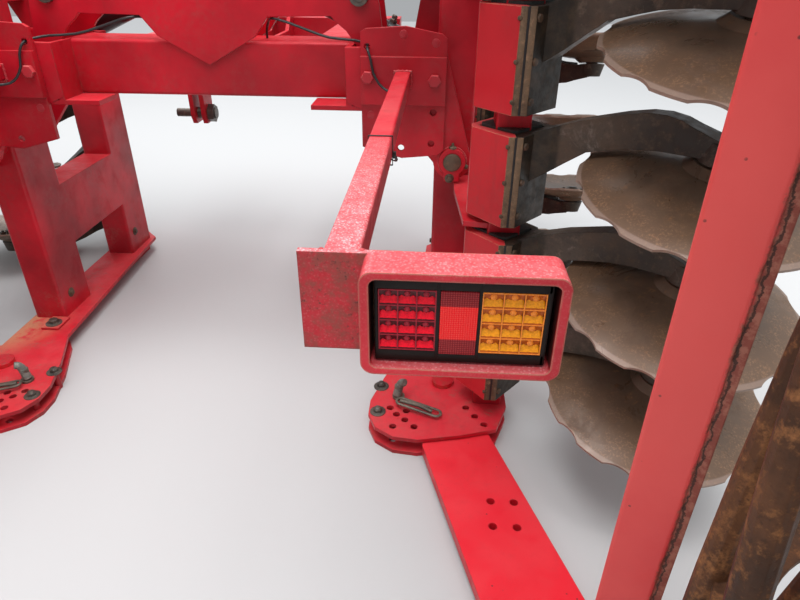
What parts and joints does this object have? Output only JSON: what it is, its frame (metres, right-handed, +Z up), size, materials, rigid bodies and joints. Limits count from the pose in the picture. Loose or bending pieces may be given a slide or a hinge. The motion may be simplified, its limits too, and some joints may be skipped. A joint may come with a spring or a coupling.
{
  "type": "folding disc harrow",
  "caption": "Tractor-mounted compact disc harrow with two wings folded upright, scalloped discs on rubber-held arms, bar rollers and lamps on long arms.",
  "frame": {"origin": "bottom centre of the bounding box as parked, on the ground", "axes": "+X to the machine's right across the direction of travel, +Y forward to the tractor, +Z up"},
  "size_m": [2.98, 2.734, 1.99],
  "materials": {
    "frame_red": "gloss, dusty",
    "headstock_red": "gloss, scuffed",
    "pin_steel": "bare, greasy",
    "hinge_steel": "bare, greasy",
    "bracket_red": "gloss, dirty",
    "lamp_red": "worn at the lips",
    "wing_paint": "dull, dusty",
    "beam_paint": "dull, dusty",
    "arm_iron": "dark, forged",
    "cap_red": "dirty",
    "cord_rubber": "matte",
    "wing_pin_steel": "weathered",
    "roller_frame_red": "faded",
    "roller_rust": "rusty",
    "barrel_paint": "gloss black",
    "rod_chrome": "bright",
    "disc_steel": "wet, rust-stained",
    "lead_rubber": "matte"
  },
  "bodies": {
    "frame": {"centre_beam": "frame_red", "headstock": "headstock_red", "link_pins": "pin_steel", "hinge_pins": "hinge_steel", "lamp_bracket_right": "bracket_red", "lamp_bracket_left": "bracket_red", "lamp_right": "lamp_red", "lamp_left": "lamp_red", "lamp_lead_right": "lead_rubber", "lamp_lead_left": "lead_rubber"},
    "wing_right": {"wing_frame_right": "wing_paint", "disc_beams_right": "beam_paint", "disc_arms_right": "arm_iron", "clamp_caps_right": "cap_red", "clamp_rubbers_right": "cord_rubber", "wing_pins_right": "wing_pin_steel"},
    "roller_frame_right": {"roller_frame_right": "roller_frame_red"},
    "roller_right": {"roller_right": "roller_rust"},
    "cylinder_barrel_right": {"cylinder_barrel_right": "barrel_paint"},
    "cylinder_rod_right": {"cylinder_rod_right": "rod_chrome"},
    "wing_left": {"wing_frame_left": "wing_paint", "disc_beams_left": "beam_paint", "disc_arms_left": "arm_iron", "clamp_caps_left": "cap_red", "clamp_rubbers_left": "cord_rubber", "wing_pins_left": "wing_pin_steel"},
    "roller_frame_left": {"roller_frame_left": "roller_frame_red"},
    "roller_left": {"roller_left": "roller_rust"},
    "cylinder_barrel_left": {"cylinder_barrel_left": "barrel_paint"},
    "cylinder_rod_left": {"cylinder_rod_left": "rod_chrome"},
    "disc_rear_right_1": {"disc_rear_right_1": "disc_steel"},
    "disc_rear_right_2": {"disc_rear_right_2": "disc_steel"},
    "disc_rear_right_3": {"disc_rear_right_3": "disc_steel"},
    "disc_rear_right_4": {"disc_rear_right_4": "disc_steel"},
    "disc_rear_right_5": {"disc_rear_right_5": "disc_steel"},
    "disc_rear_right_6": {"disc_rear_right_6": "disc_steel"},
    "disc_rear_right_7": {"disc_rear_right_7": "disc_steel"},
    "disc_rear_left_1": {"disc_rear_left_1": "disc_steel"},
    "disc_rear_left_2": {"disc_rear_left_2": "disc_steel"},
    "disc_rear_left_3": {"disc_rear_left_3": "disc_steel"},
    "disc_rear_left_4": {"disc_rear_left_4": "disc_steel"},
    "disc_rear_left_5": {"disc_rear_left_5": "disc_steel"},
    "disc_rear_left_6": {"disc_rear_left_6": "disc_steel"},
    "disc_rear_left_7": {"disc_rear_left_7": "disc_steel"},
    "disc_front_right_1": {"disc_front_right_1": "disc_steel"},
    "disc_front_right_2": {"disc_front_right_2": "disc_steel"},
    "disc_front_right_3": {"disc_front_right_3": "disc_steel"},
    "disc_front_right_4": {"disc_front_right_4": "disc_steel"},
    "disc_front_right_5": {"disc_front_right_5": "disc_steel"},
    "disc_front_right_6": {"disc_front_right_6": "disc_steel"},
    "disc_front_right_7": {"disc_front_right_7": "disc_steel"},
    "disc_front_left_1": {"disc_front_left_1": "disc_steel"},
    "disc_front_left_2": {"disc_front_left_2": "disc_steel"},
    "disc_front_left_3": {"disc_front_left_3": "disc_steel"},
    "disc_front_left_4": {"disc_front_left_4": "disc_steel"},
    "disc_front_left_5": {"disc_front_left_5": "disc_steel"},
    "disc_front_left_6": {"disc_front_left_6": "disc_steel"},
    "disc_front_left_7": {"disc_front_left_7": "disc_steel"}
  },
  "joints": [
    {"name": "wing_fold_right", "type": "hinge", "parent": "frame", "child": "wing_right", "pos_m": [0.696, 0.405, 0.686], "axis": [0, 1, 0], "range_deg": [0, 90]},
    {"name": "wing_fold_left", "type": "hinge", "parent": "frame", "child": "wing_left", "pos_m": [-0.696, 0.405, 0.686], "axis": [0, -1, 0], "range_deg": [0, 90]},
    {"name": "roller_depth_right", "type": "hinge", "parent": "wing_right", "child": "roller_frame_right", "pos_m": [0.695, 0.038, 0.03], "axis": [0, 0, 1], "range_deg": [0, 12]},
    {"name": "roller_depth_left", "type": "hinge", "parent": "wing_left", "child": "roller_frame_left", "pos_m": [-0.695, 0.038, 0.03], "axis": [0, 0, -1], "range_deg": [0, 12]},
    {"name": "roller_spin_right", "type": "hinge", "parent": "roller_frame_right", "child": "roller_right", "pos_m": [1.215, -1.092, 0.995], "axis": [0, 0, 1], "continuous": true},
    {"name": "roller_spin_left", "type": "hinge", "parent": "roller_frame_left", "child": "roller_left", "pos_m": [-1.215, -1.092, 0.995], "axis": [0, 0, 1], "continuous": true},
    {"name": "barrel_swing_right", "type": "hinge", "parent": "frame", "child": "cylinder_barrel_right", "pos_m": [0.092, 0.606, 1.15], "axis": [0, 1, 0], "range_deg": [-0.5, 2]},
    {"name": "rod_slide_right", "type": "slide", "parent": "cylinder_barrel_right", "child": "cylinder_rod_right", "axis": [0.9176, 0, -0.3974], "range_m": [0, 0.3728]},
    {"name": "barrel_swing_left", "type": "hinge", "parent": "frame", "child": "cylinder_barrel_left", "pos_m": [-0.092, 0.606, 1.15], "axis": [0, -1, 0], "range_deg": [-0.5, 2]},
    {"name": "rod_slide_left", "type": "slide", "parent": "cylinder_barrel_left", "child": "cylinder_rod_left", "axis": [-0.9176, 0, -0.3974], "range_m": [0, 0.3728]},
    {"name": "disc_rear_right_1_spin", "type": "hinge", "parent": "wing_right", "child": "disc_rear_right_1", "pos_m": [1.195, -0.264, 0.362], "axis": [0, -0.2079, 0.9781], "continuous": true},
    {"name": "disc_rear_right_2_spin", "type": "hinge", "parent": "wing_right", "child": "disc_rear_right_2", "pos_m": [1.195, -0.264, 0.619], "axis": [0, -0.2079, 0.9781], "continuous": true},
    {"name": "disc_rear_right_3_spin", "type": "hinge", "parent": "wing_right", "child": "disc_rear_right_3", "pos_m": [1.195, -0.264, 0.876], "axis": [0, -0.2079, 0.9781], "continuous": true},
    {"name": "disc_rear_right_4_spin", "type": "hinge", "parent": "wing_right", "child": "disc_rear_right_4", "pos_m": [1.195, -0.264, 1.133], "axis": [0, -0.2079, 0.9781], "continuous": true},
    {"name": "disc_rear_right_5_spin", "type": "hinge", "parent": "wing_right", "child": "disc_rear_right_5", "pos_m": [1.195, -0.264, 1.39], "axis": [0, -0.2079, 0.9781], "continuous": true},
    {"name": "disc_rear_right_6_spin", "type": "hinge", "parent": "wing_right", "child": "disc_rear_right_6", "pos_m": [1.195, -0.264, 1.647], "axis": [0, -0.2079, 0.9781], "continuous": true},
    {"name": "disc_rear_right_7_spin", "type": "hinge", "parent": "wing_right", "child": "disc_rear_right_7", "pos_m": [1.195, -0.264, 1.904], "axis": [0, -0.2079, 0.9781], "continuous": true},
    {"name": "disc_rear_left_1_spin", "type": "hinge", "parent": "wing_left", "child": "disc_rear_left_1", "pos_m": [-1.195, -0.264, 0.362], "axis": [0, -0.2079, 0.9781], "continuous": true},
    {"name": "disc_rear_left_2_spin", "type": "hinge", "parent": "wing_left", "child": "disc_rear_left_2", "pos_m": [-1.195, -0.264, 0.619], "axis": [0, -0.2079, 0.9781], "continuous": true},
    {"name": "disc_rear_left_3_spin", "type": "hinge", "parent": "wing_left", "child": "disc_rear_left_3", "pos_m": [-1.195, -0.264, 0.876], "axis": [0, -0.2079, 0.9781], "continuous": true},
    {"name": "disc_rear_left_4_spin", "type": "hinge", "parent": "wing_left", "child": "disc_rear_left_4", "pos_m": [-1.195, -0.264, 1.133], "axis": [0, -0.2079, 0.9781], "continuous": true},
    {"name": "disc_rear_left_5_spin", "type": "hinge", "parent": "wing_left", "child": "disc_rear_left_5", "pos_m": [-1.195, -0.264, 1.39], "axis": [0, -0.2079, 0.9781], "continuous": true},
    {"name": "disc_rear_left_6_spin", "type": "hinge", "parent": "wing_left", "child": "disc_rear_left_6", "pos_m": [-1.195, -0.264, 1.647], "axis": [0, -0.2079, 0.9781], "continuous": true},
    {"name": "disc_rear_left_7_spin", "type": "hinge", "parent": "wing_left", "child": "disc_rear_left_7", "pos_m": [-1.195, -0.264, 1.904], "axis": [0, -0.2079, 0.9781], "continuous": true},
    {"name": "disc_front_right_1_spin", "type": "hinge", "parent": "wing_right", "child": "disc_front_right_1", "pos_m": [1.195, 0.886, 0.066], "axis": [0, -0.2079, -0.9781], "continuous": true},
    {"name": "disc_front_right_2_spin", "type": "hinge", "parent": "wing_right", "child": "disc_front_right_2", "pos_m": [1.195, 0.886, 0.323], "axis": [0, -0.2079, -0.9781], "continuous": true},
    {"name": "disc_front_right_3_spin", "type": "hinge", "parent": "wing_right", "child": "disc_front_right_3", "pos_m": [1.195, 0.886, 0.58], "axis": [0, -0.2079, -0.9781], "continuous": true},
    {"name": "disc_front_right_4_spin", "type": "hinge", "parent": "wing_right", "child": "disc_front_right_4", "pos_m": [1.195, 0.886, 0.837], "axis": [0, -0.2079, -0.9781], "continuous": true},
    {"name": "disc_front_right_5_spin", "type": "hinge", "parent": "wing_right", "child": "disc_front_right_5", "pos_m": [1.195, 0.886, 1.094], "axis": [0, -0.2079, -0.9781], "continuous": true},
    {"name": "disc_front_right_6_spin", "type": "hinge", "parent": "wing_right", "child": "disc_front_right_6", "pos_m": [1.195, 0.886, 1.351], "axis": [0, -0.2079, -0.9781], "continuous": true},
    {"name": "disc_front_right_7_spin", "type": "hinge", "parent": "wing_right", "child": "disc_front_right_7", "pos_m": [1.195, 0.886, 1.608], "axis": [0, -0.2079, -0.9781], "continuous": true},
    {"name": "disc_front_left_1_spin", "type": "hinge", "parent": "wing_left", "child": "disc_front_left_1", "pos_m": [-1.195, 0.886, 0.066], "axis": [0, -0.2079, -0.9781], "continuous": true},
    {"name": "disc_front_left_2_spin", "type": "hinge", "parent": "wing_left", "child": "disc_front_left_2", "pos_m": [-1.195, 0.886, 0.323], "axis": [0, -0.2079, -0.9781], "continuous": true},
    {"name": "disc_front_left_3_spin", "type": "hinge", "parent": "wing_left", "child": "disc_front_left_3", "pos_m": [-1.195, 0.886, 0.58], "axis": [0, -0.2079, -0.9781], "continuous": true},
    {"name": "disc_front_left_4_spin", "type": "hinge", "parent": "wing_left", "child": "disc_front_left_4", "pos_m": [-1.195, 0.886, 0.837], "axis": [0, -0.2079, -0.9781], "continuous": true},
    {"name": "disc_front_left_5_spin", "type": "hinge", "parent": "wing_left", "child": "disc_front_left_5", "pos_m": [-1.195, 0.886, 1.094], "axis": [0, -0.2079, -0.9781], "continuous": true},
    {"name": "disc_front_left_6_spin", "type": "hinge", "parent": "wing_left", "child": "disc_front_left_6", "pos_m": [-1.195, 0.886, 1.351], "axis": [0, -0.2079, -0.9781], "continuous": true},
    {"name": "disc_front_left_7_spin", "type": "hinge", "parent": "wing_left", "child": "disc_front_left_7", "pos_m": [-1.195, 0.886, 1.608], "axis": [0, -0.2079, -0.9781], "continuous": true}
  ],
  "couplings": [
    {"joint": "rod_slide_right", "follows": "wing_fold_right", "m_per_rad": 0.23607},
    {"joint": "barrel_swing_right", "follows": "wing_fold_right", "ratio": 0.000478},
    {"joint": "rod_slide_left", "follows": "wing_fold_left", "m_per_rad": 0.23607},
    {"joint": "barrel_swing_left", "follows": "wing_fold_left", "ratio": 0.000478}
  ]
}
